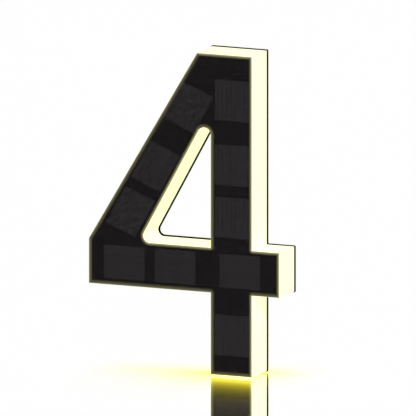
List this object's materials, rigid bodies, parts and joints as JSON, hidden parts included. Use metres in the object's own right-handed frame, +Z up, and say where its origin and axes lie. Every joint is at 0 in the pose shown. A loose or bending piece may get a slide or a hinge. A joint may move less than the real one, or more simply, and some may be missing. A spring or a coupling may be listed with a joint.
{
  "type": "illuminated house number sign",
  "caption": "Solar powered digit 4 for a house wall, with a milky lit side wall, a dark face of solar cells behind a clear cover, a black keyhole back plate and a rear mode button.",
  "frame": {"origin": "on the wall's plane, in the middle of the upper keyhole's round entry", "axes": "+Z up along the stem, +X to the right for someone who reads the sign, -Y out of the wall through the face"},
  "size_m": [0.1279, 0.0247, 0.201],
  "materials": {
    "milky_shell": "translucent milky polycarbonate, lit from inside",
    "clear_cover": "clear, glossy, its edge lit by the shell",
    "black_mask": "black printed sheet",
    "cell_wafer": "dark wafer with fine silver lines",
    "black_board": "black circuit board",
    "sealant": "cured white silicone",
    "black_case": "fine textured black ABS",
    "gasket_rubber": "soft silicone cord",
    "screw_steel": "black passivated steel",
    "button_rubber": "soft black",
    "switch_plastic": "black moulded",
    "plunger_plastic": "red moulded",
    "green_board": "green solder mask",
    "chip_plastic": "black epoxy",
    "ferrite": "dark ferrite",
    "can_metal": "drawn can",
    "header_nylon": "natural nylon",
    "plug_nylon": "natural nylon",
    "sleeve_film": "green shrink film",
    "pad_foam": "grey foam",
    "cradle_plastic": "black moulded",
    "contact_nickel": "nickel plated",
    "white_board": "white solder mask",
    "led_package": "white package with yellow phosphor",
    "wire_white": "white insulation",
    "wire_red": "red insulation",
    "wire_black": "black insulation",
    "terminal_tin": "tinned"
  },
  "bodies": {
    "sign": {"diffuser_shell": "milky_shell", "face_cover": "clear_cover", "face_mask": "black_mask", "panel_board": "black_board", "face_seal": "sealant", "back_plate": "black_case", "outer_gasket": "gasket_rubber", "counter_gasket": "gasket_rubber", "case_screws": "screw_steel", "button_seal": "gasket_rubber", "switch_body": "switch_plastic", "control_board": "green_board", "board_screws": "screw_steel", "control_chips": "chip_plastic", "power_inductor": "ferrite", "filter_capacitors": "can_metal", "battery_header": "header_nylon", "battery_plug": "plug_nylon", "panel_header": "header_nylon", "panel_plug": "plug_nylon", "led_header": "header_nylon", "led_plug": "plug_nylon", "battery_cell": "can_metal", "battery_sleeve": "sleeve_film", "battery_pad": "pad_foam", "battery_cradle": "cradle_plastic", "battery_contact_upper": "contact_nickel", "battery_contact_lower": "contact_nickel", "stem_led_strips": "white_board", "bar_led_strips": "white_board", "diagonal_led_strip": "white_board", "stem_leds": "led_package", "bar_leds": "led_package", "diagonal_leds": "led_package", "led_jumpers": "wire_white", "panel_terminals": "terminal_tin", "positive_battery_lead": "wire_red", "negative_battery_lead": "wire_black", "positive_panel_lead": "wire_red", "negative_panel_lead": "wire_black", "left_led_lead": "wire_white", "right_led_lead": "wire_white", "solar_cell_stem_1": "cell_wafer", "solar_cell_stem_2": "cell_wafer", "solar_cell_stem_3": "cell_wafer", "solar_cell_stem_4": "cell_wafer", "solar_cell_bar_1": "cell_wafer", "solar_cell_bar_2": "cell_wafer", "solar_cell_bar_3": "cell_wafer", "solar_cell_diagonal_1": "cell_wafer", "solar_cell_diagonal_2": "cell_wafer", "solar_cell_diagonal_3": "cell_wafer"},
    "button": {"mode_button": "button_rubber", "switch_plunger": "plunger_plastic"}
  },
  "joints": [
    {"name": "mode_button_press", "type": "slide", "parent": "sign", "child": "button", "axis": [0, -1, 0], "range_m": [0, 0.001], "stiffness_N_per_m": 900, "springref_m": -0.0008}
  ]
}
